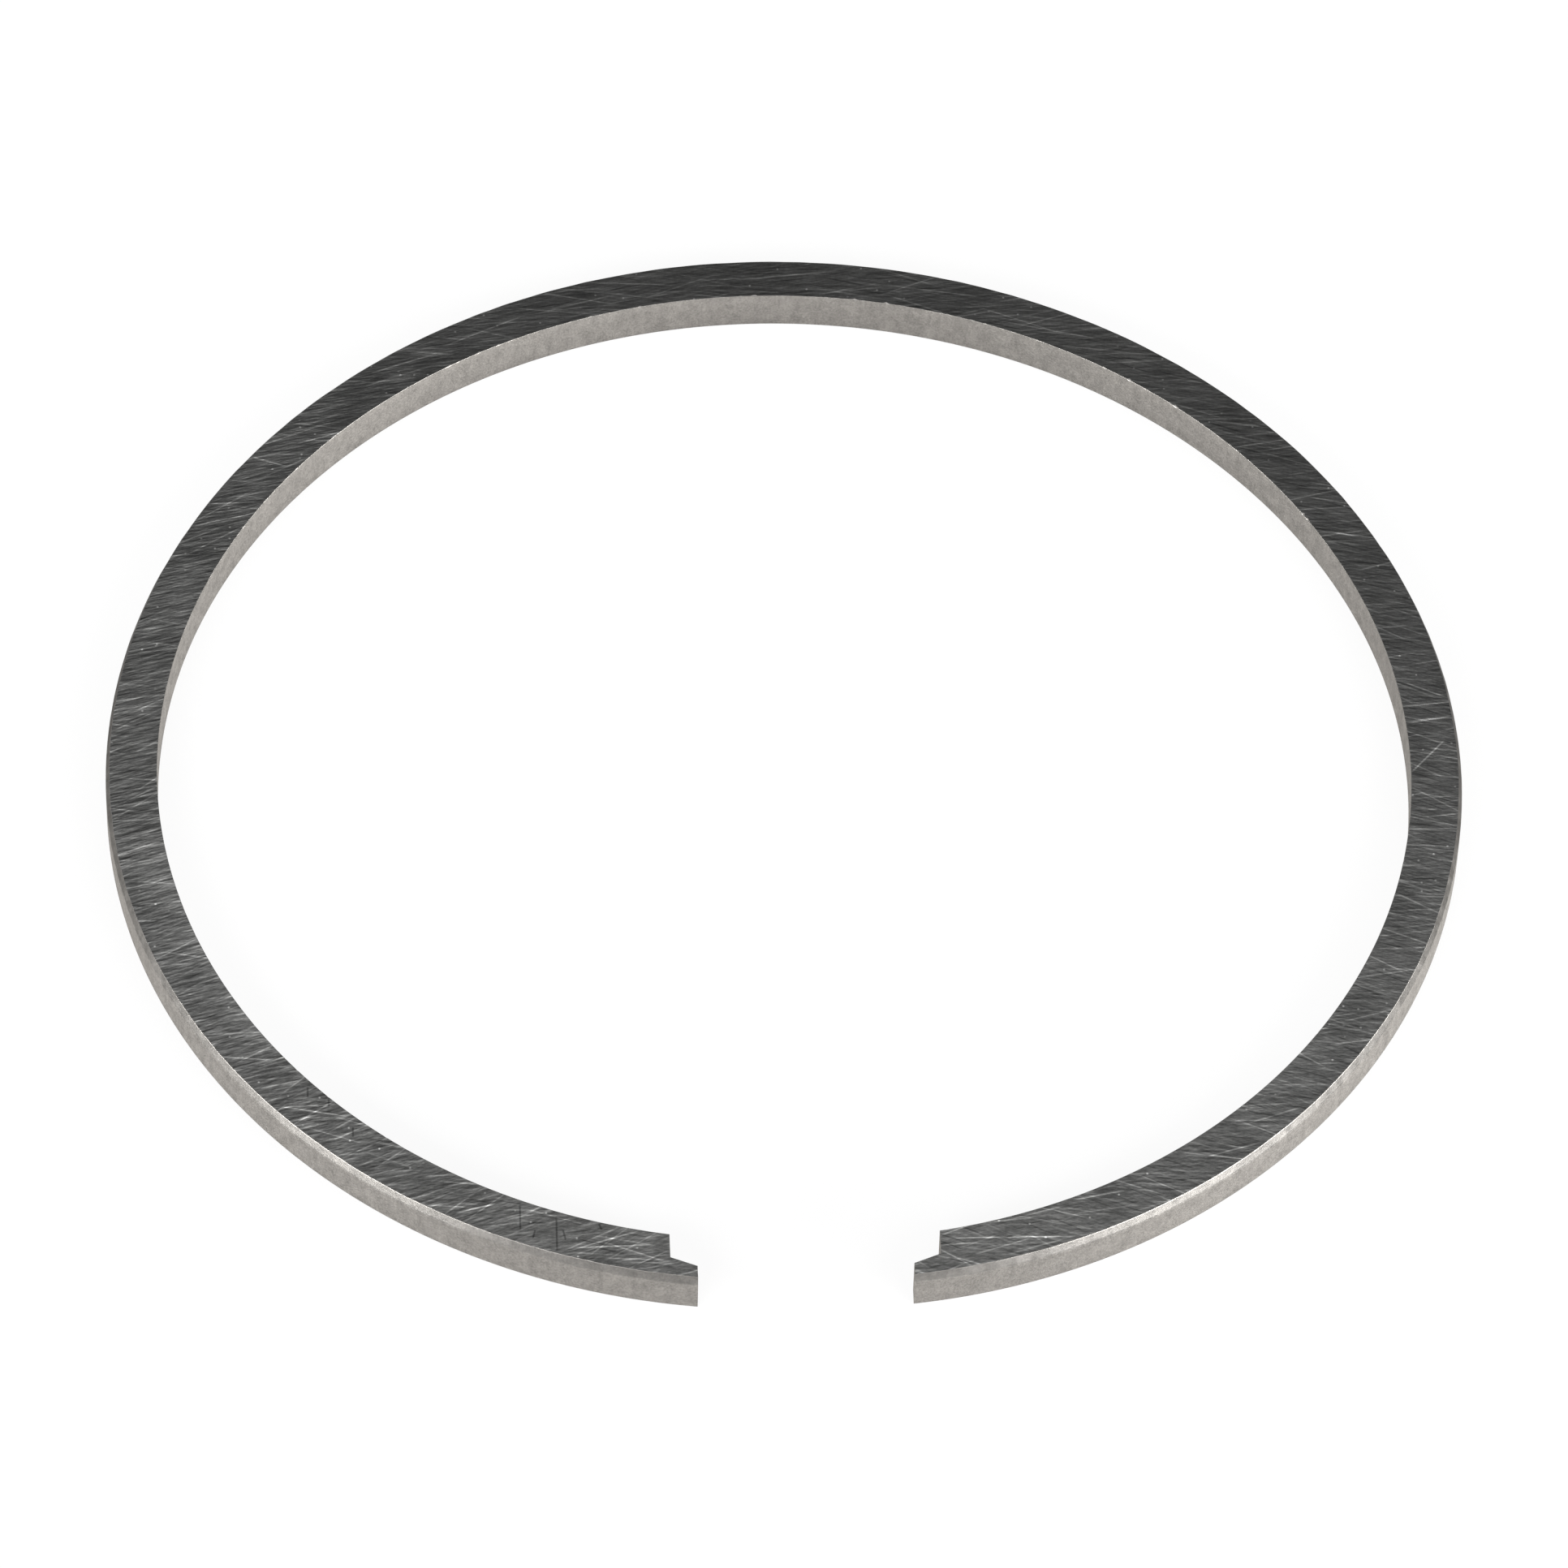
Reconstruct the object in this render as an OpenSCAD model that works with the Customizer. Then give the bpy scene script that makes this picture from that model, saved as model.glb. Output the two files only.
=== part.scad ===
// Piston ring of a small two-stroke engine, lying flat in its free, sprung-open state.
// It is one piece: a section with a steep bevel on its upper outer edge, led along three arcs that run
// smoothly into one another and parted at the gap, with a step at each end that clears the peg in the
// ring groove.
// The back half is the slackest arc and the two front arcs are tighter, so that the ring closes
// to a true circle and presses evenly all round the bore.
// The ring's axis is +Z, its gap faces -Y, and the origin is under the middle of the ring's box.

/* [Ring] */
// Diameter of the bore that the closed ring fills
bore_d = 44; // [36:0.5:64]
// Height of the ring along the bore
axial_h = 1.5; // [1:0.1:3]
// Thickness of the ring from its inner to its outer wall
radial_t = 1.76; // [1.4:0.02:2.6]
// Width of the bevel on the upper outer edge, across the side face
bevel_w = 0.12; // [0.06:0.01:0.3]
// Height of the bevel on the upper outer edge, down the outer wall
bevel_h = 0.3; // [0.1:0.01:0.6]
// Width of the break on the other three edges
edge_break = 0.04; // [0.02:0.01:0.1]

/* [Gap] */
// Opening between the ends of the free ring, across their outer corners
free_gap = 7.15; // [4:0.05:11]
// Opening between the ends of the ring once it is closed into the bore
closed_gap = 0.2; // [0.1:0.05:0.6]
// Angle by which the faces at the ends lean back from square, towards the inner wall
end_lean = 7; // [0:1:20]

/* [Peg step] */
// Length of the lip that is left outside the step at each end
lip_l = 1; // [0.5:0.05:2]
// Thickness of the lip at its root
lip_root_t = 0.85; // [0.6:0.01:1.1]
// Thickness of the lip at its tip
lip_tip_t = 0.58; // [0.42:0.01:1]

/* [Hidden] */
$fn = 180;

// Grid that the arcs' radii and their joint lie on, so that the arcs meet exactly
grid = 0.001;
// How far a cutter reaches past what it cuts
cut_over = 0.5;

// Mid-line of the closed ring: its radius, and its length from the back to one end
mid_r = (bore_d - radial_t) / 2;
mid_l = PI * mid_r - closed_gap / 2;

// A ring that presses evenly has a curvature of (1 - spring * (1 + cos(a))) / mid_r in its free
// state, at the angle a from its back. Each arc takes the mean of that curvature over its quarter.
function back_radius(spring) = mid_r / (1 - spring * (1 + 2 / PI));
function front_radius(spring) = mid_r / (1 - spring * (1 - 2 / PI));
// Angle of one front arc, which takes what the back arc leaves of the mid-line's length
function front_angle(back, front) = (mid_l - back * PI / 2) / front * 180 / PI;
// Opening across the outer corners of the ends
function gap_between(back, front) =
    2 * (back - front + (front + radial_t / 2) * cos(front_angle(back, front)));
function gap_of(spring) = gap_between(back_radius(spring), front_radius(spring));
// Spring that opens the ring to the given gap, which grows almost in step with the spring
function spring_for(gap, spring) = abs(gap_of(spring) - gap) < grid ? spring
    : spring_for(gap, spring * (gap - closed_gap) / (gap_of(spring) - closed_gap));
function on_grid(x) = round(x / grid) * grid;

// The search starts from the rule for a very thin ring
thin_spring = (free_gap - closed_gap) / (3 * PI * mid_r);
free_spring = spring_for(free_gap, thin_spring);
back_r = on_grid(back_radius(free_spring));
front_r = on_grid(front_radius(free_spring));
sweep = front_angle(back_r, front_r);

// The arcs join where the ring runs along Y: at this Y, with the front arcs centred this far out
join_y = on_grid(((front_r + radial_t / 2) * sin(sweep) - back_r - radial_t / 2) / 2);
front_x = back_r - front_r;
// Angle of a front arc with the spare length that the end's cut takes away
uncut_sweep = on_grid(sweep + cut_over / front_r * 180 / PI);

// Section of the ring with its mid-line at the radius r
module ring_section(r) {
    wall_in = r - radial_t / 2;
    wall_out = r + radial_t / 2;
    polygon([
        [wall_in, edge_break],
        [wall_in + edge_break, 0],
        [wall_out - edge_break, 0],
        [wall_out, edge_break],
        [wall_out, axial_h - bevel_h],
        [wall_out - bevel_w, axial_h],
        [wall_in + edge_break, axial_h],
        [wall_in, axial_h - edge_break]
    ]);
}

module back_arc() {
    translate([0, join_y, 0])
        rotate_extrude(angle = 180) ring_section(back_r);
}

// The +X front arc, from the joint to a little past its end
module front_arc() {
    translate([front_x, join_y, 0])
        rotate_extrude(start = -uncut_sweep, angle = uncut_sweep) ring_section(front_r);
}

// What is cut from the +X end: X runs outwards from the mid-line and Y runs back along the ring
module end_cut() {
    wall_out = radial_t / 2 + cut_over;
    wall_in = -wall_out;
    root = radial_t / 2 - lip_root_t;
    tip = radial_t / 2 - lip_tip_t;
    lean = tan(end_lean);
    translate([front_x, join_y, -cut_over])
        rotate([0, 0, -sweep])
            translate([front_r, 0, 0])
                linear_extrude(axial_h + 2 * cut_over)
                    polygon([
                        [wall_out, -2 * cut_over],
                        [wall_out, -cut_over * lean],
                        [tip, lip_tip_t * lean],
                        [root, lip_l],
                        [wall_in, lip_l + (root - wall_in) * lean],
                        [wall_in, -2 * cut_over]
                    ]);
}

module ring_side() {
    difference() {
        front_arc();
        end_cut();
    }
}

module piston_ring() {
    color([0.36, 0.36, 0.35]) {
        back_arc();
        ring_side();
        mirror([1, 0, 0]) ring_side();
    }
}

piston_ring();
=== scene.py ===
"""Looks of a split piston ring that lies flat in its free, sprung-open state.

The ring is one mesh on the frame's own arcs, fine enough for its bevelled upper outer edge, its stepped
ends and the small chips in its inner edge. One material finishes each face by its slope.
"""

import math

import bpy
import numpy as np
from mathutils import Matrix, Vector


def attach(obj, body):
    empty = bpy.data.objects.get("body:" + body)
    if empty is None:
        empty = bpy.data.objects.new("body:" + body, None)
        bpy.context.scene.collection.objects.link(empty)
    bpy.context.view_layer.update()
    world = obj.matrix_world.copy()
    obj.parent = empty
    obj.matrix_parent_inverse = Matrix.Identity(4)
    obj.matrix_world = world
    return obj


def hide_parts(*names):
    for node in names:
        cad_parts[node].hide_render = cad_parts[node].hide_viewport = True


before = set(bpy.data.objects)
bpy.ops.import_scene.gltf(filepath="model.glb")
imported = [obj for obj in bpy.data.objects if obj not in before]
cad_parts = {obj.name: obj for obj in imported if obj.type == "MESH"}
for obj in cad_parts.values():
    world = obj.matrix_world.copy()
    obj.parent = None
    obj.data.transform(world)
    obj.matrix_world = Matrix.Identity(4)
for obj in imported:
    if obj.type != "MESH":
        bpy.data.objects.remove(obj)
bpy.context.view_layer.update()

MM = 0.001

# Ring, at the sizes of its solid
BORE = 44 * MM
HEIGHT = 1.5 * MM
THICK = 1.76 * MM
BEVEL_WIDTH = 0.12 * MM
BEVEL_HEIGHT = 0.3 * MM
EDGE_BREAK = 0.04 * MM
FREE_GAP = 7.15 * MM
CLOSED_GAP = 0.2 * MM
END_LEAN = math.tan(math.radians(7))
LIP_LENGTH = 1 * MM
LIP_ROOT = 0.85 * MM
LIP_TIP = 0.58 * MM
ARC_GRID = 0.001 * MM
SEARCH_ROUNDS = 40

# Wear of the edges. Lapping leaves only a share of the break on the inner top edge.
CUT_EDGE = 0.012 * MM
INNER_TOP_LEFT = 0.35
BEVEL_WAVE = 0.06
INNER_EDGE_WAVE = 0.12
WAVE_LENGTH = 0.5 * MM
NICKS = 60
NICK_DEPTH = (0.01 * MM, 0.05 * MM)
NICK_LENGTH = (0.03 * MM, 0.06 * MM)
# Larger chips in the inner top edge, by their length along the ring from its back towards +X
CHIPS = (-0.4 * MM, 3.3 * MM, 4.5 * MM, 14.2 * MM, 16.3 * MM, 23.2 * MM, 23.5 * MM)
CHIP_DEPTH = 0.09 * MM
CHIP_LENGTH = 0.06 * MM

# Mesh
STATION_STEP = 0.09 * MM
STEP_STATIONS = 6
LIP_STATIONS = 12
EDGE_STEPS = 6
WALL_STEPS = 3
# Bevel from the wall up to the flat face, by shares of its width and its height, with a worn crest.
# It has EDGE_STEPS steps, as every edge has.
BEVEL_PROFILE = ((0, 1.2), (0, 1), (0.2, 0.8), (0.6, 0.4), (0.9, 0.1), (0.96, 0.04), (1.04, 0))
ACROSS = (0, 0.01, 0.25, 0.5, 0.75, 0.99, 1)
SHARP_ANGLE = math.radians(60)
CORNER_SINE = 0.05
SEED = 7

# Finishes, as linear colours with their roughness. The tint dims what the metal mirrors at low angles.
LAPPED_COLOUR = (0.128, 0.128, 0.125)
# The next colour is bare worn metal at the crest of an edge and at the chips, painted lighter as a
# highlight
RIM_HIGHLIGHT_COLOUR = (0.34, 0.325, 0.31)
EDGE_COLOUR = (0.209, 0.2, 0.188)
WALL_COLOUR = (0.236, 0.224, 0.209)
GRAZING_TINT = (0.27, 0.27, 0.27, 1)
LAPPED_ROUGH = 0.34
EDGE_ROUGH = 0.38
WALL_ROUGH = 0.75
ROUGH_SPREAD = 0.02
BUMP_HEIGHT = 0.002 * MM
# Slopes, as the upright part of a face's normal, from which and to which a wall turns into an edge
WALL_TO_EDGE = (0.05, 0.35)
# By how much the slope falls short of 1 where a flat face fades out, and where its worn crest, painted
# lighter as a highlight, fades in and out. The grain makes these lines ragged.
FLAT_FADE = (0.10, 0.03)
RIM_HIGHLIGHT_IN = (0.01, 0.04)
RIM_HIGHLIGHT_OUT = (0.25, 0.10)
RAGGED_STEP = 1.5
RAGGED_SHARE = 0.5

# Blotches, fine grain and upright bands of the walls and edges, per millimetre, and their weights.
# Of two values, the first is for walls and the second for edges.
BLOTCH_SCALE = 2.4
GRAIN_SCALE = 13.0
BAND_SCALE = 5.0
BAND_RISE = 0.2
BLOTCH_WEIGHT = 0.08
GRAIN_WEIGHTS = (0.12, 0.09)
BAND_WEIGHT = 0.04
BLOTCH_BUMP = 0.6
GRAIN_BUMP = 1.2
BUMP_SHARES = (1.0, 0.2)
NOISE_GAIN = 7.0
NOISE_DETAIL = 2.0
NOISE_ROUGH = 0.55

# Marks on the flat faces, in millimetres. They follow arcs about the centre of a wide wheel, some of
# them turned in degrees to cross the rest. A step of a mark makes the metal MARK_STEP times lighter.
MARK_STEP = 1.6
WHEEL = (7, -105)
# Steps between the noise of one kind of marks and the next, and of the lower face and the upper
LAYER_STEP = 4.0
FACE_STEP = 50.0
# Turn, length, width and weight
STREAKS = (
    (0, 1.1, 0.09, 0.38),
    (2, 1.8, 0.24, 0.28),
    (-18, 0.9, 0.09, 0.36),
    (16, 0.9, 0.09, 0.36),
)
# Weight of the first streaks on the left, and the x from which and to which they gain it
LEFT_STREAKS = 0.5
LEFT_FADE = (-6.0, -18.0)
FINE_SCALE = 8.0
FINE_WEIGHT = 0.2
CLOUD_SCALE = 0.25
CLOUD_WEIGHT = 0.25
# Turn, spacing, length and weight
LINES = (
    (0, 0.22, 2.2, 0.9),
    (-8, 0.32, 2.6, 1.1),
    (7, 0.32, 2.6, 1.1),
    (-11, 0.7, 3.2, 1.7),
    (10, 0.7, 3.2, 1.7),
    (-24, 0.6, 3.0, 1.6),
    (20, 0.6, 3.0, 1.6),
    (3, 0.3, 1.4, -1.2),
    (-14, 0.4, 1.4, -1.2),
)
LINE_WIDTH = 0.045
LINE_CORE = 0.2
LINE_TILT = 1.2
LINE_SHIFT = 0.5
LINE_TAPER = (0.5, 0.25)
LINE_DEPTHS = (0.3, 1.0)
# Bright specks, in some of the cells of a scattered pattern
SPECK_SCALE = 2.0
SPECK_SIZE = (0.11, 0.04)
SPECK_CHANCE = (0.8, 0.95)
SPECK_WEIGHT = 2.4
# Single scratches on the upper face, from (x, y) to (x, y)
BRIGHT_SCRATCHES = (
    ((-8.1, -21.5), (-5.4, -20.6)),
    ((-7.9, -21.3), (-4.9, -21.2)),
    ((-11.6, -19.8), (-10.1, -19.4)),
    ((4.6, -21.1), (9.1, -21.1)),
    ((8.9, -19.6), (10.8, -19.2)),
    ((16.2, 13.5), (18.9, 14.0)),
    ((-17.5, -15.2), (-15.0, -15.7)),
    ((-18.1, -14.5), (-16.5, -14.1)),
    ((-20.3, 10.4), (-18.0, 11.0)),
    ((-19.8, 11.4), (-17.9, 11.5)),
    ((-18.3, 13.6), (-17.0, 13.1)),
    ((21.4, -1.5), (22.8, 0.1)),
    ((21.4, 2.7), (23.0, 1.9)),
    ((21.4, 0.8), (23.1, 1.1)),
)
DARK_SCRATCHES = (
    ((-9.4, -19.4), (-9.4, -20.6)),
    ((-8.2, -19.9), (-8.2, -21.5)),
    ((-8.9, -20.5), (-9.0, -20.9)),
    ((-8.0, -20.5), (-7.9, -21.0)),
    ((-6.8, -20.3), (-6.7, -20.6)),
    ((-16.4, -14.4), (-16.4, -14.9)),
    ((-15.7, -14.9), (-15.7, -15.3)),
    ((-14.9, -16.1), (-14.9, -16.6)),
)
SCRATCH_WIDTH = 0.05
SCRATCH_TAPER = 0.6
BRIGHT_WEIGHT = 2.2
DARK_WEIGHT = -1.4
# A painted sheen: a paler patch of the upper face along its inner edge, painted lighter as a highlight,
# from (x, y) to (x, y), and its width
PAINTED_SHEEN_PATCH = ((-21.4, -2.6), (-16.6, -13.8), 2.2)
PAINTED_SHEEN_WEIGHT = 1.0

# Camera, fitted to the ring's edges in the photograph
IMAGE_PX = 1932
FOCAL_PX = 12987
SENSOR_MM = 36
CAMERA_AZIMUTH = math.radians(-3.3065)
CAMERA_ELEVATION = math.radians(50.5123)
CAMERA_ROLL = math.radians(1.8577)
CAMERA_DISTANCE = 362.9225 * MM
CAMERA_ASIDE = 0.0238 * MM
CAMERA_BELOW = 0.2632 * MM
CAMERA_CLIP = 10 * MM

# White floor, of which a share is left to show the ring's shadow
FLOOR_SIZE = 3000 * MM
FLOOR_GAP = 0.01 * MM
FLOOR_COLOUR = (0.95, 0.95, 0.95, 1)
FLOOR_SHADE = 0.15

# Lights, where 1 is white. The sky's light rises with the upward part of its direction. Side lamps have
# an azimuth from the front towards +X, an elevation, a light and a size. A lamp's power is its light
# times its area times LAMP_POWER.
HORIZON_LIGHT = 0.18
ZENITH_LIGHT = 0.27
SKY_RISE = (0.1, 0.6)
LAMP_DISTANCE = 400 * MM
RIGHT_STRIP_SIZE = (480 * MM, 84 * MM)
LEFT_STRIP_SIZE = (340 * MM, 84 * MM)
FILL_SIZE = (320 * MM, 140 * MM)
LAMP_POWER = 4
SIDE_LAMPS = {
    "right_strip": (66, 5, 28.5, RIGHT_STRIP_SIZE),
    "right_fill": (42, 32, 3.7, FILL_SIZE),
    "left_strip": (-69, 5, 22.0, LEFT_STRIP_SIZE),
    "left_fill": (-38, 32, 5.8, FILL_SIZE),
}
TOP_LAMP_PLACE = (0, 18 * MM, 60 * MM)
TOP_LAMP_SIZE = (160 * MM, 56 * MM)
TOP_LAMP_TURN = math.radians(-16)
TOP_LAMP_LIGHT = 0.62


def arc_radii():
    """Radii of the back arc and of the front arcs, and the angle of a front arc, for the free gap."""
    middle = (BORE - THICK) / 2
    length = math.pi * middle - CLOSED_GAP / 2
    spring = (FREE_GAP - CLOSED_GAP) / (3 * math.pi * middle)
    for _ in range(SEARCH_ROUNDS):
        back = middle / (1 - spring * (1 + 2 / math.pi))
        front = middle / (1 - spring * (1 - 2 / math.pi))
        sweep = (length - back * math.pi / 2) / front
        gap = 2 * (back - front + (front + THICK / 2) * math.cos(sweep))
        spring *= (FREE_GAP - CLOSED_GAP) / (gap - CLOSED_GAP)
    back = round(back / ARC_GRID) * ARC_GRID
    front = round(front / ARC_GRID) * ARC_GRID
    return back, front, (length - back * math.pi / 2) / front


BACK_R, FRONT_R, SWEEP = arc_radii()
JOIN_Y = ((FRONT_R + THICK / 2) * math.sin(SWEEP) - BACK_R - THICK / 2) / 2
FRONT_X = BACK_R - FRONT_R
BACK_LENGTH = BACK_R * math.pi / 2
HALF_LENGTH = BACK_LENGTH + FRONT_R * SWEEP


def middle_line(along):
    """Points of the middle line and its outward normals, at lengths from the back to the +X end."""
    at_back = along < BACK_LENGTH
    turn = np.where(at_back, along / BACK_R, math.pi / 2 + (along - BACK_LENGTH) / FRONT_R)
    outward = np.stack([np.sin(turn), np.cos(turn)], 1)
    radius = np.where(at_back, BACK_R, FRONT_R)[:, None]
    centre = np.stack([np.where(at_back, 0, FRONT_X), np.full(len(along), JOIN_Y)], 1)
    return centre + radius * outward, outward


def step_wall():
    """Depth of an end's step from the lip's root to the inner wall, and its length there from the end."""
    out = THICK / 2 - LIP_ROOT + FRONT_R
    inner_r = FRONT_R - THICK / 2
    a = 1 + END_LEAN**2
    b = LIP_LENGTH * END_LEAN - out
    c = out**2 + LIP_LENGTH**2 - inner_r**2
    depth = (-b - math.sqrt(b * b - a * c)) / a
    angle = math.atan2(LIP_LENGTH + depth * END_LEAN, out - depth)
    return depth, FRONT_R * angle


class Chain:
    """One side of the ring's outline in plan, as a row of stations.

    Each station has a point and the two faces that meet there, which are alike but at a corner.
    A face has its normal into the metal. The edges of the first face are rows of steps from the wall to
    the flat face, each with an inset from the wall and a depth below the flat face.
    """

    def __init__(self, points, inward, top, bottom):
        self.points = points
        self.normal_a = inward.copy()
        self.normal_b = inward.copy()
        self.top = np.tile(top, (len(points), 1, 1))
        self.bottom = np.tile(bottom, (len(points), 1, 1))

    def mirrored(self):
        """The chain from the -X end over the back to the +X end."""
        for name, half in vars(self).items():
            flip = (1, 1) if name in ("top", "bottom") else (-1, 1)
            setattr(self, name, np.concatenate([half[:0:-1] * flip, half]))
        return self

    def levels(self):
        """Points of the wall under the chain, as (station, level, xyz), with both edges."""
        top, bottom = self.top, self.bottom[:, ::-1]
        share = np.linspace(0, 1, WALL_STEPS + 1)[1:-1]
        low, high = bottom[:, -1:, 1], HEIGHT - top[:, :1, 1]
        wall = low + share * (high - low)
        z = np.concatenate([bottom[:, :, 1], wall, HEIGHT - top[:, :, 1]], 1)
        inset_a = np.concatenate([bottom[:, :, 0], np.zeros_like(wall), top[:, :, 0]], 1)
        inset_b = cut_inset(np.minimum(z, HEIGHT - z))
        ax, ay = self.normal_a.T[:, :, None]
        bx, by = self.normal_b.T[:, :, None]
        cross = ax * by - ay * bx
        corner = np.abs(cross) > CORNER_SINE
        safe = np.where(corner, cross, 1)
        dx = np.where(corner, (inset_a * by - inset_b * ay) / safe, inset_a * ax)
        dy = np.where(corner, (inset_b * ax - inset_a * bx) / safe, inset_a * ay)
        return np.stack([self.points[:, :1] + dx, self.points[:, 1:] + dy, z], 2)


def round_edge(radius):
    """Steps round an edge from its wall to the flat face."""
    angle = np.linspace(0, math.pi / 2, EDGE_STEPS + 1)
    return radius * np.stack([1 - np.cos(angle), 1 - np.sin(angle)], 1)


def cut_inset(depth):
    """How far the small edge of a cut face draws it in, at a depth below the flat face."""
    lift = np.clip(CUT_EDGE - depth, 0, None)
    return CUT_EDGE - np.sqrt(np.clip(CUT_EDGE**2 - lift**2, 0, None))


def chains():
    """The outer and the inner side of the outline, and the stations' lengths from the back."""
    step_depth, step_end = step_wall()
    lip_start = HALF_LENGTH - LIP_LENGTH
    step_start = HALF_LENGTH - step_end
    front_steps = round((step_start - BACK_LENGTH) / STATION_STEP)
    along = np.concatenate([
        np.linspace(0, BACK_LENGTH, round(BACK_LENGTH / STATION_STEP) + 1),
        np.linspace(BACK_LENGTH, step_start, front_steps + 1)[1:],
        np.linspace(step_start, lip_start, STEP_STATIONS + 1)[1:],
        np.linspace(lip_start, HALF_LENGTH, LIP_STATIONS + 1)[1:],
    ])
    middle, outward = middle_line(along)
    bevel = np.array(BEVEL_PROFILE) * (BEVEL_WIDTH, BEVEL_HEIGHT)
    broken = round_edge(EDGE_BREAK)
    outer = Chain(middle + outward * THICK / 2, -outward, bevel, broken)
    inner = Chain(middle - outward * THICK / 2, outward, broken, broken)

    # The end's own directions: outwards from the middle line, and back along the ring
    end_point, end_out = middle[-1], outward[-1]
    end_back = np.array([-end_out[1], end_out[0]])

    def from_end(out, back):
        return end_out * out + end_back * back

    root = np.array([THICK / 2 - LIP_ROOT, LIP_LENGTH])
    tip = np.array([THICK / 2 - LIP_TIP, LIP_TIP * END_LEAN])
    wall_end = np.array([root[0] - step_depth, root[1] + step_depth * END_LEAN])
    cut_normal = from_end(END_LEAN, 1) / math.hypot(END_LEAN, 1)
    floor_run = root - tip
    floor_normal = from_end(floor_run[1], -floor_run[0]) / np.hypot(*floor_run)

    first_step = len(along) - LIP_STATIONS - STEP_STATIONS - 1
    first_lip = len(along) - LIP_STATIONS - 1
    for i in range(first_step, len(along)):
        if i <= first_lip:
            share = (i - first_step) / STEP_STATIONS
            out, back = wall_end + (root - wall_end) * share
            normal = cut_normal
        else:
            share = (i - first_lip) / LIP_STATIONS
            out, back = root + (tip - root) * share
            normal = floor_normal
        inner.points[i] = end_point + from_end(out, back)
        inner.normal_b[i] = normal
        if i > first_step:
            inner.normal_a[i] = normal
            inner.top[i] = inner.bottom[i] = round_edge(CUT_EDGE)
    inner.normal_b[first_lip] = floor_normal
    inner.normal_b[-1] = cut_normal
    outer.normal_b[-1] = cut_normal
    along = np.concatenate([-along[:0:-1], along])
    return outer.mirrored(), inner.mirrored(), along


def wavy(random, along, share):
    """Smooth waves about 1, drawn at even lengths along the ring."""
    knots = np.arange(along[0], along[-1] + WAVE_LENGTH, WAVE_LENGTH)
    return 1 + np.interp(along, knots, random.uniform(-share, share, len(knots)))


def wear_edges(outer, inner, along):
    """Waves along the edges, and nicks and chips in the inner top edge."""
    random = np.random.default_rng(SEED)
    outer.top *= wavy(random, along, BEVEL_WAVE)[:, None, None]
    wear = INNER_TOP_LEFT * wavy(random, along, INNER_EDGE_WAVE)
    chips = [(place, CHIP_DEPTH, CHIP_LENGTH) for place in CHIPS]
    for _ in range(NICKS):
        place = random.normal(0, HALF_LENGTH / 2)
        chips.append((place, random.uniform(*NICK_DEPTH), random.uniform(*NICK_LENGTH)))
    for place, depth, length in chips:
        wear += depth / EDGE_BREAK * np.exp(-(((along - place) / length) ** 2))
    uncut = inner.top[:, :1, 1:] == EDGE_BREAK
    inner.top = np.where(uncut, inner.top * wear[:, None, None], inner.top)


def ring_mesh():
    """The ring's mesh: a loop of points at each station, and a grid of points on each end."""
    outer, inner, along = chains()
    wear_edges(outer, inner, along)
    outer_wall, inner_wall = outer.levels(), inner.levels()
    across = np.array(ACROSS[1:-1])[None, :, None]

    def between(level):
        return outer_wall[:, level, None] * (1 - across) + inner_wall[:, level, None] * across

    loop = np.concatenate([outer_wall, between(-1), inner_wall[:, ::-1], between(0)[:, ::-1]], 1)
    stations, size = loop.shape[:2]
    levels = outer_wall.shape[1]
    columns = len(ACROSS)
    points = [loop.reshape(-1, 3)]
    first = np.arange(stations - 1)[:, None] * size
    here, after = np.arange(size), np.roll(np.arange(size), -1)
    sides = np.stack([first + here, first + after, first + size + after, first + size + here], 2)
    faces = [sides.reshape(-1, 4)]

    count = stations * size
    share = across[0, :, None]
    for station in (0, stations - 1):
        grid = np.empty((columns, levels), int)
        start = station * size
        grid[0] = start + np.arange(levels)
        grid[1:-1, -1] = start + levels + np.arange(columns - 2)
        grid[-1] = start + levels + columns - 2 + np.arange(levels)[::-1]
        grid[1:-1, 0] = start + size - 1 - np.arange(columns - 2)
        inside = (columns - 2) * (levels - 2)
        grid[1:-1, 1:-1] = count + np.arange(inside).reshape(columns - 2, levels - 2)
        count += inside
        between_walls = outer_wall[station, 1:-1] * (1 - share) + inner_wall[station, 1:-1] * share
        points.append(between_walls.reshape(-1, 3))
        end = np.stack([grid[:-1, :-1], grid[1:, :-1], grid[1:, 1:], grid[:-1, 1:]], 2).reshape(-1, 4)
        faces.append(end if station else end[:, ::-1])

    mesh = bpy.data.meshes.new("lapped_ring")
    mesh.from_pydata(np.concatenate(points).tolist(), [], np.concatenate(faces).tolist())
    mesh.validate()
    mesh.shade_smooth()
    mesh.set_sharp_from_angle(angle=SHARP_ANGLE)
    return mesh


def node(tree, kind, *values, out=0, **settings):
    """Adds a shader node with these settings. Values fill its inputs in order, and None skips one."""
    made = tree.nodes.new("ShaderNode" + kind)
    for name, value in settings.items():
        setattr(made, name, value)
    for socket, value in zip(made.inputs, values):
        if isinstance(value, bpy.types.NodeSocket):
            tree.links.new(value, socket)
        elif value is not None:
            socket.default_value = value
    return made.outputs[out]


def calc(tree, operation, *values):
    return node(tree, "Math", *values, operation=operation)


def vector_calc(tree, operation, *values, out=0):
    return node(tree, "VectorMath", *values, out=out, operation=operation)


def split(tree, vector):
    """The x, y and z of a vector."""
    return node(tree, "SeparateXYZ", vector).node.outputs[:3]


def scaled(tree, vector, factor):
    return vector_calc(tree, "SCALE", vector, None, None, factor)


def ramp(tree, value, span, low=0.0, high=1.0):
    """A smooth step from low at the span's start to high at its end."""
    return node(tree, "MapRange", value, *span, low, high, interpolation_type="SMOOTHSTEP")


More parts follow.
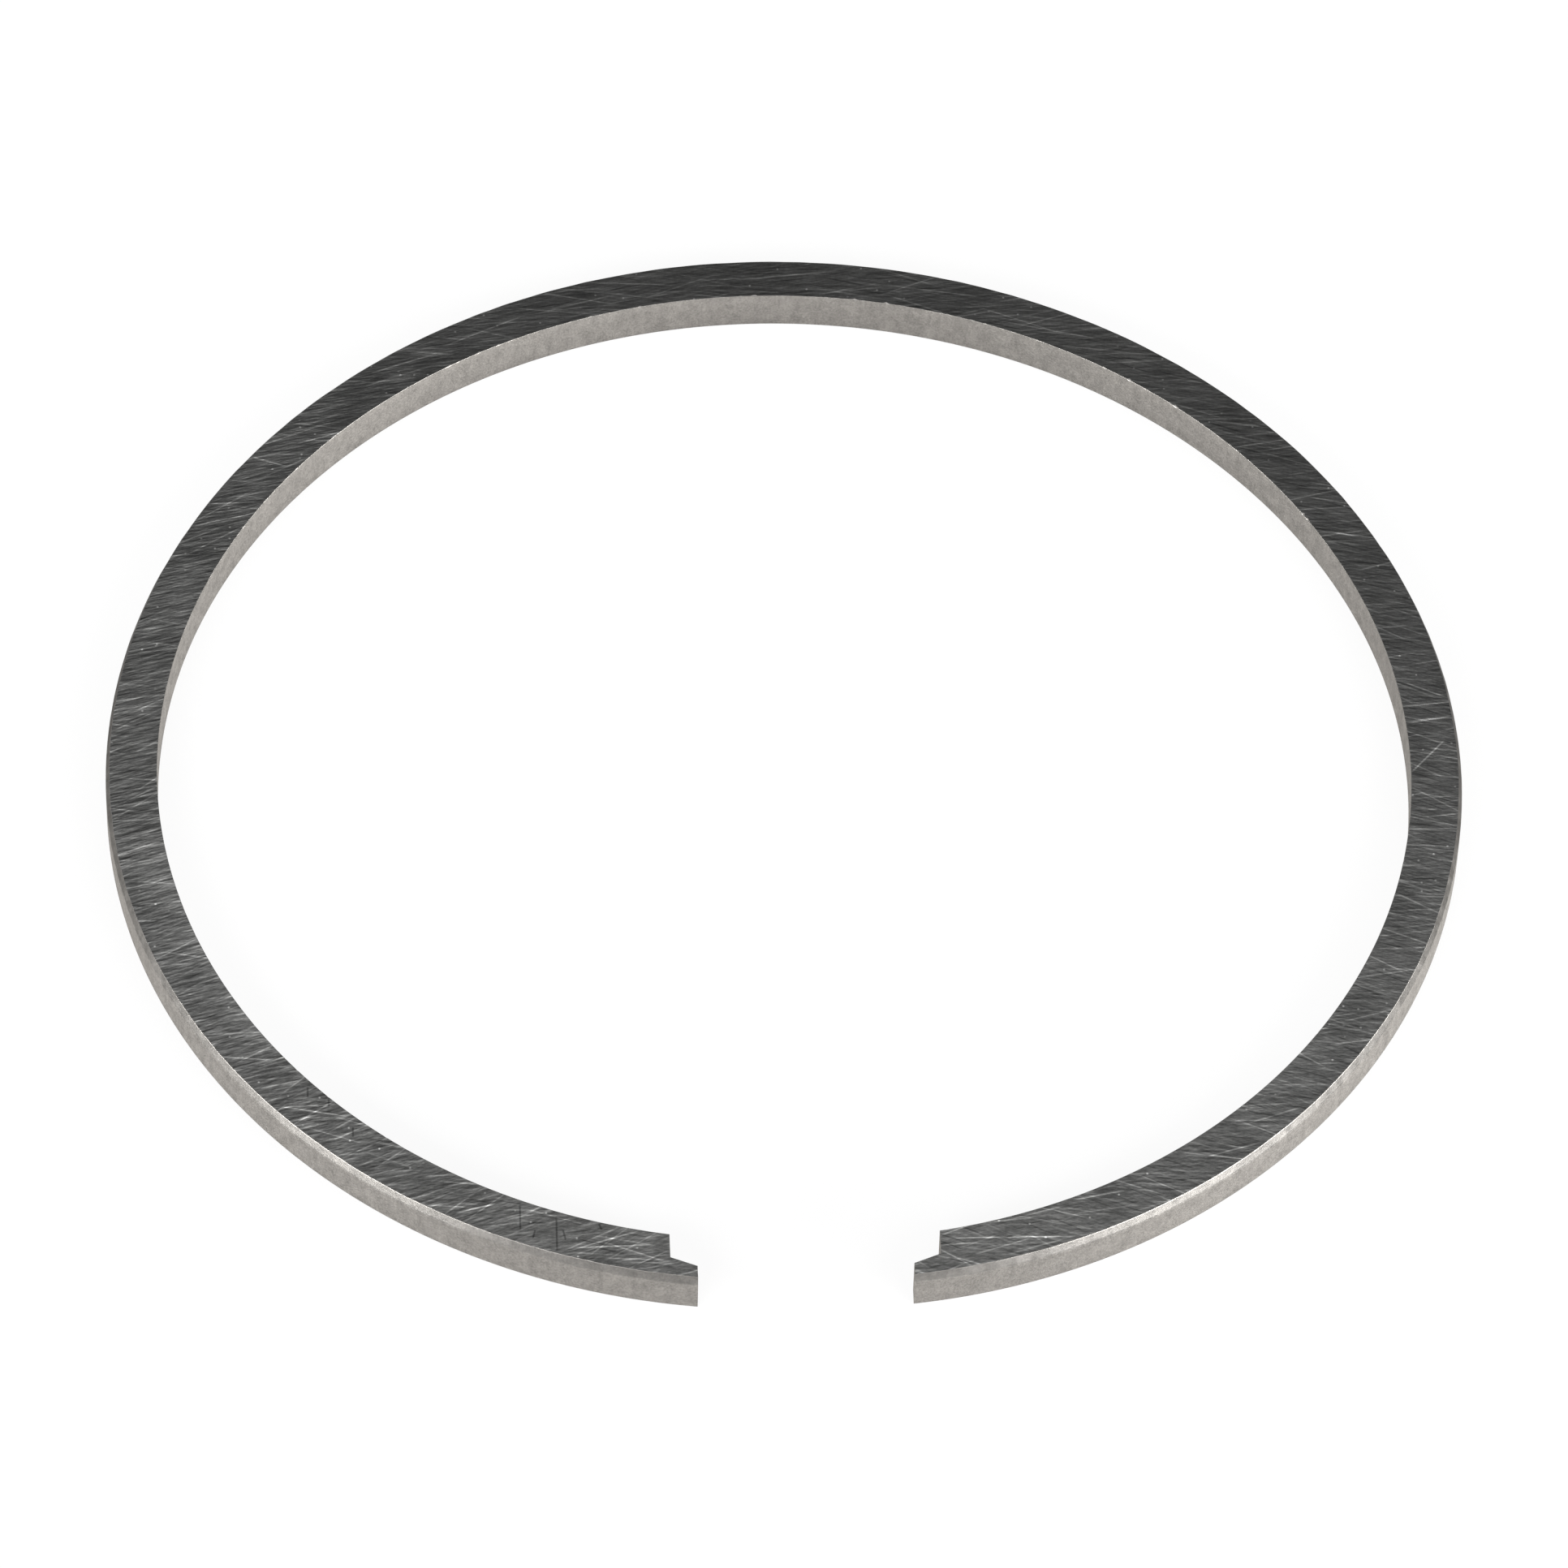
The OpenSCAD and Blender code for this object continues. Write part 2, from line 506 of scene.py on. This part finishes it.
def weighted(tree, *terms):
    """The sum of (weight, value) terms."""
    total = calc(tree, "MULTIPLY", terms[0][1], terms[0][0])
    for weight, value in terms[1:]:
        total = calc(tree, "MULTIPLY_ADD", value, weight, total)
    return total


def blend(tree, share, first, second):
    """A colour between two."""
    mixed = tree.nodes.new("ShaderNodeMix")
    mixed.data_type = "RGBA"
    sockets = mixed.inputs[0], mixed.inputs[6], mixed.inputs[7]
    for socket, value in zip(sockets, (share, first, second)):
        if isinstance(value, bpy.types.NodeSocket):
            tree.links.new(value, socket)
        else:
            socket.default_value = (*value, 1)
    return mixed.outputs[2]


def noise(tree, place, scale):
    """Noise about 0, in units of about its own spread."""
    raw = node(tree, "TexNoise", place, None, scale, NOISE_DETAIL, NOISE_ROUGH)
    return calc(tree, "MULTIPLY_ADD", raw, NOISE_GAIN, -NOISE_GAIN / 2)


def arc_place(tree, place, turn):
    """Run along the wheel's arcs and distance from their centre, with the arcs turned in degrees."""
    centre = Matrix.Rotation(math.radians(turn), 2) @ Vector(WHEEL)
    away = vector_calc(tree, "SUBTRACT", place, (*centre, 0))
    x, y, _ = split(tree, away)
    run = calc(tree, "MULTIPLY", calc(tree, "ARCTAN2", x, y), math.hypot(*WHEEL))
    return run, vector_calc(tree, "LENGTH", away, out=1)


def streaks(tree, place, turn, length, width, layer):
    """Noise drawn out along the wheel's arcs."""
    run, rise = arc_place(tree, place, turn)
    run = calc(tree, "DIVIDE", run, length)
    rise = calc(tree, "DIVIDE", rise, width)
    return noise(tree, node(tree, "CombineXYZ", run, rise, layer), 1.0)


def lines(tree, place, turn, spacing, length, layer):
    """Single lines, one in each stretch of each row, with a place, a tilt and a depth of their own."""
    run, rise = arc_place(tree, place, turn)
    across = calc(tree, "DIVIDE", rise, spacing)
    row = calc(tree, "FLOOR", across)
    shift = node(tree, "TexWhiteNoise", node(tree, "CombineXYZ", row, layer, 0.5))
    along = calc(tree, "ADD", calc(tree, "DIVIDE", run, length), shift)
    stretch = calc(tree, "FLOOR", along)
    chance = node(tree, "TexWhiteNoise", node(tree, "CombineXYZ", row, stretch, layer), out=1)
    aside, tilt, depth = split(tree, vector_calc(tree, "SUBTRACT", chance, (0.5, 0.5, 0.0)))
    u = calc(tree, "SUBTRACT", calc(tree, "FRACT", along), 0.5)
    v = calc(tree, "SUBTRACT", calc(tree, "FRACT", across), 0.5)
    v = weighted(tree, (1.0, v), (LINE_SHIFT, aside), (LINE_TILT, calc(tree, "MULTIPLY", tilt, u)))
    v = calc(tree, "MULTIPLY", calc(tree, "ABSOLUTE", v), spacing)
    line = ramp(tree, v, (LINE_WIDTH, LINE_CORE * LINE_WIDTH))
    line = calc(tree, "MULTIPLY", line, ramp(tree, calc(tree, "ABSOLUTE", u), LINE_TAPER))
    return calc(tree, "MULTIPLY", line, ramp(tree, depth, LINE_DEPTHS))


def scratch(tree, place, start, end, width=SCRATCH_WIDTH):
    """One straight scratch, or a soft patch where it is wide."""
    start, end = Vector(start), Vector(end)
    half = (end - start).length / 2
    run = (end - start).normalized()
    away = vector_calc(tree, "SUBTRACT", place, (*((start + end) / 2), 0))
    u = calc(tree, "ABSOLUTE", vector_calc(tree, "DOT_PRODUCT", away, (*run, 0), out=1))
    v = calc(tree, "ABSOLUTE", vector_calc(tree, "DOT_PRODUCT", away, (-run.y, run.x, 0), out=1))
    along = ramp(tree, u, (half, SCRATCH_TAPER * half))
    across = ramp(tree, v, (width, LINE_CORE * width))
    return calc(tree, "MULTIPLY", along, across)


def specks(tree, place):
    """Bright points, in some of the cells of a scattered pattern."""
    distance = node(tree, "TexVoronoi", place, None, SPECK_SCALE, voronoi_dimensions="2D")
    chance = split(tree, distance.node.outputs["Color"])[0]
    return calc(tree, "MULTIPLY", ramp(tree, distance, SPECK_SIZE), ramp(tree, chance, SPECK_CHANCE))


def lapping(tree, place):
    """Marks of the flat faces and a painted sheen on the upper face, in steps lighter or darker than the
    bare metal, and the marks' height.
    """
    x, _, z = split(tree, place)
    upper = calc(tree, "GREATER_THAN", z, HEIGHT / MM / 2)
    place = vector_calc(tree, "MULTIPLY", place, (1, 1, 0))
    count = len(STREAKS) + len(LINES)
    layers = [calc(tree, "MULTIPLY_ADD", upper, FACE_STEP, LAYER_STEP * i) for i in range(count)]

    terms = []
    for turn, length, width, weight in STREAKS:
        terms.append((weight, streaks(tree, place, turn, length, width, layers.pop())))
    left = calc(tree, "MULTIPLY", ramp(tree, x, LEFT_FADE), terms[0][1])
    fine = noise(tree, place, FINE_SCALE)
    height = weighted(tree, *terms, (LEFT_STREAKS, left), (FINE_WEIGHT, fine))

    clouds = noise(tree, place, CLOUD_SCALE)
    terms = [(1.0, height), (CLOUD_WEIGHT, clouds), (SPECK_WEIGHT, specks(tree, place))]
    for turn, spacing, length, weight in LINES:
        terms.append((weight, lines(tree, place, turn, spacing, length, layers.pop())))
    for weight, scratches in ((BRIGHT_WEIGHT, BRIGHT_SCRATCHES), (DARK_WEIGHT, DARK_SCRATCHES)):
        total = weighted(tree, *[(1.0, scratch(tree, place, *ends)) for ends in scratches])
        terms.append((weight, calc(tree, "MULTIPLY", total, upper)))
    # Painted sheen: a paler patch along the inner edge of the upper face, painted lighter as a highlight
    pale = scratch(tree, place, *PAINTED_SHEEN_PATCH)
    terms.append((PAINTED_SHEEN_WEIGHT, calc(tree, "MULTIPLY", pale, upper)))
    return weighted(tree, *terms), height


def ring_iron():
    """Bare ring iron: flat faces lapped dark with crossing marks and a painted sheen, bright edges with a
    crest painted lighter as a highlight, and pale matte walls.
    """
    material = bpy.data.materials.new("ring_iron")
    material.use_nodes = True
    tree = material.node_tree
    shader = tree.nodes["Principled BSDF"]
    coordinates = tree.nodes.new("ShaderNodeTexCoord").outputs
    place = scaled(tree, coordinates["Object"], 1 / MM)
    slope = calc(tree, "ABSOLUTE", split(tree, coordinates["Normal"])[2])

    # The marks also carry the painted sheen along the inner edge of the upper face
    marks, height = lapping(tree, place)
    lapped = scaled(tree, LAPPED_COLOUR, calc(tree, "POWER", MARK_STEP, marks))

    # Walls and edges: fine grain, blotches and faint upright bands
    blotches = noise(tree, place, BLOTCH_SCALE)
    grain = noise(tree, place, GRAIN_SCALE)
    bands = noise(tree, vector_calc(tree, "MULTIPLY", place, (1, 1, BAND_RISE)), BAND_SCALE)
    edge = ramp(tree, slope, WALL_TO_EDGE)
    coarse = calc(tree, "MULTIPLY", grain, ramp(tree, slope, WALL_TO_EDGE, *GRAIN_WEIGHTS))
    shade = weighted(tree, (BLOTCH_WEIGHT, blotches), (1.0, coarse), (BAND_WEIGHT, bands))
    shade = calc(tree, "ADD", shade, 1.0)
    matte = scaled(tree, blend(tree, edge, WALL_COLOUR, EDGE_COLOUR), shade)

    # The flat faces end in a ragged line at the edges, with a thin worn crest painted lighter as a
    # highlight
    ragged = weighted(tree, (RAGGED_SHARE, blotches), (RAGGED_SHARE, grain))
    ragged = calc(tree, "POWER", RAGGED_STEP, ragged)
    drop = calc(tree, "MULTIPLY", calc(tree, "SUBTRACT", 1.0, slope), ragged)
    flat = ramp(tree, drop, FLAT_FADE)
    rim_highlight = calc(tree, "MULTIPLY", ramp(tree, drop, RIM_HIGHLIGHT_IN), ramp(tree, drop, RIM_HIGHLIGHT_OUT))
    colour = blend(tree, rim_highlight, blend(tree, flat, matte, lapped), RIM_HIGHLIGHT_COLOUR)
    tree.links.new(colour, shader.inputs["Base Color"])
    shader.inputs["Metallic"].default_value = 1.0
    shader.inputs["Specular Tint"].default_value = GRAZING_TINT

    matte_rough = ramp(tree, slope, WALL_TO_EDGE, WALL_ROUGH, EDGE_ROUGH)
    matte_rough = calc(tree, "MULTIPLY_ADD", blotches, ROUGH_SPREAD, matte_rough)
    lapped_rough = calc(tree, "MULTIPLY_ADD", marks, -ROUGH_SPREAD, LAPPED_ROUGH)
    rough = node(tree, "Mix", flat, None, matte_rough, lapped_rough)
    tree.links.new(rough, shader.inputs["Roughness"])

    matte_height = weighted(tree, (BLOTCH_BUMP, blotches), (GRAIN_BUMP, grain))
    bump_share = ramp(tree, slope, WALL_TO_EDGE, *BUMP_SHARES)
    matte_height = calc(tree, "MULTIPLY", matte_height, bump_share)
    bump = tree.nodes.new("ShaderNodeBump")
    bump.inputs["Strength"].default_value = 1.0
    bump.inputs["Distance"].default_value = BUMP_HEIGHT
    tree.links.new(node(tree, "Mix", flat, None, matte_height, height), bump.inputs["Height"])
    tree.links.new(bump.outputs[0], shader.inputs["Normal"])
    return material


def build_ring():
    ring = bpy.data.objects.new("lapped_ring", ring_mesh())
    bpy.context.scene.collection.objects.link(ring)
    ring.data.materials.append(ring_iron())
    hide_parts("piston_ring")
    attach(ring, "root")


def build_floor():
    """A white floor that keeps a faint shadow and looks as white in the metal as it does itself."""
    half = FLOOR_SIZE / 2
    mesh = bpy.data.meshes.new("floor")
    corners = [(x * half, y * half, -FLOOR_GAP) for x, y in ((-1, -1), (1, -1), (1, 1), (-1, 1))]
    mesh.from_pydata(corners, [], [(0, 1, 2, 3)])
    floor = bpy.data.objects.new("floor", mesh)
    bpy.context.scene.collection.objects.link(floor)

    material = bpy.data.materials.new("floor_white")
    material.use_nodes = True
    tree = material.node_tree
    tree.nodes.remove(tree.nodes["Principled BSDF"])
    diffuse = node(tree, "BsdfDiffuse", FLOOR_COLOUR)
    white = node(tree, "Emission", (1, 1, 1, 1), 1.0)
    rays = tree.nodes.new("ShaderNodeLightPath").outputs
    seen = calc(tree, "MAXIMUM", rays["Is Camera Ray"], rays["Is Glossy Ray"])
    seen = calc(tree, "MAXIMUM", seen, rays["Is Transmission Ray"])
    share = calc(tree, "MULTIPLY", seen, 1 - FLOOR_SHADE)
    surface = node(tree, "MixShader", share, diffuse, white)
    tree.links.new(surface, tree.nodes["Material Output"].inputs["Surface"])
    mesh.materials.append(material)


def build_world():
    """Even light, a little brighter overhead than near the horizon."""
    world = bpy.data.worlds.new("studio")
    bpy.context.scene.world = world
    world.use_nodes = True
    tree = world.node_tree
    direction = tree.nodes.new("ShaderNodeTexCoord").outputs["Generated"]
    light = ramp(tree, split(tree, direction)[2], SKY_RISE, HORIZON_LIGHT, ZENITH_LIGHT)
    tree.links.new(light, tree.nodes["Background"].inputs["Color"])


def softbox(name, centre, aim, size, light, turn=0):
    """A soft rectangular lamp, whose face is as bright as the given light."""
    data = bpy.data.lights.new(name, "AREA")
    data.shape = "RECTANGLE"
    data.size, data.size_y = size
    data.energy = LAMP_POWER * size[0] * size[1] * light
    lamp = bpy.data.objects.new(name, data)
    lamp.location = centre
    facing = (Vector(aim) - Vector(centre)).to_track_quat("-Z", "Y").to_euler()
    facing.rotate_axis("Z", turn)
    lamp.rotation_euler = facing
    lamp.visible_camera = False
    bpy.context.scene.collection.objects.link(lamp)


def build_lights():
    for name, (azimuth, elevation, light, size) in SIDE_LAMPS.items():
        a, e = math.radians(azimuth), math.radians(elevation)
        direction = Vector((math.cos(e) * math.sin(a), -math.cos(e) * math.cos(a), math.sin(e)))
        softbox(name, direction * LAMP_DISTANCE, (0, 0, 0), size, light)
    below = (TOP_LAMP_PLACE[0], TOP_LAMP_PLACE[1], 0)
    softbox("top_light", TOP_LAMP_PLACE, below, TOP_LAMP_SIZE, TOP_LAMP_LIGHT, TOP_LAMP_TURN)


def build_camera():
    azimuth = Matrix.Rotation(CAMERA_AZIMUTH, 3, "Z")
    back = azimuth @ Vector((0, -math.cos(CAMERA_ELEVATION), math.sin(CAMERA_ELEVATION)))
    right = azimuth @ Vector((1, 0, 0))
    up = back.cross(right)
    c, s = math.cos(CAMERA_ROLL), math.sin(CAMERA_ROLL)
    x_axis = right * c + up * s
    y_axis = up * c - right * s
    place = x_axis * CAMERA_ASIDE - y_axis * CAMERA_BELOW + back * CAMERA_DISTANCE
    data = bpy.data.cameras.new("camera")
    data.sensor_width = SENSOR_MM
    data.lens = SENSOR_MM * FOCAL_PX / IMAGE_PX
    data.clip_start = CAMERA_CLIP
    camera = bpy.data.objects.new("camera", data)
    turn = Matrix((x_axis, y_axis, back)).transposed()
    camera.matrix_world = Matrix.Translation(place) @ turn.to_4x4()
    bpy.context.scene.collection.objects.link(camera)
    bpy.context.scene.camera = camera


build_camera()
build_ring()
build_floor()
build_world()
build_lights()
bpy.context.scene.view_settings.view_transform = "Standard"
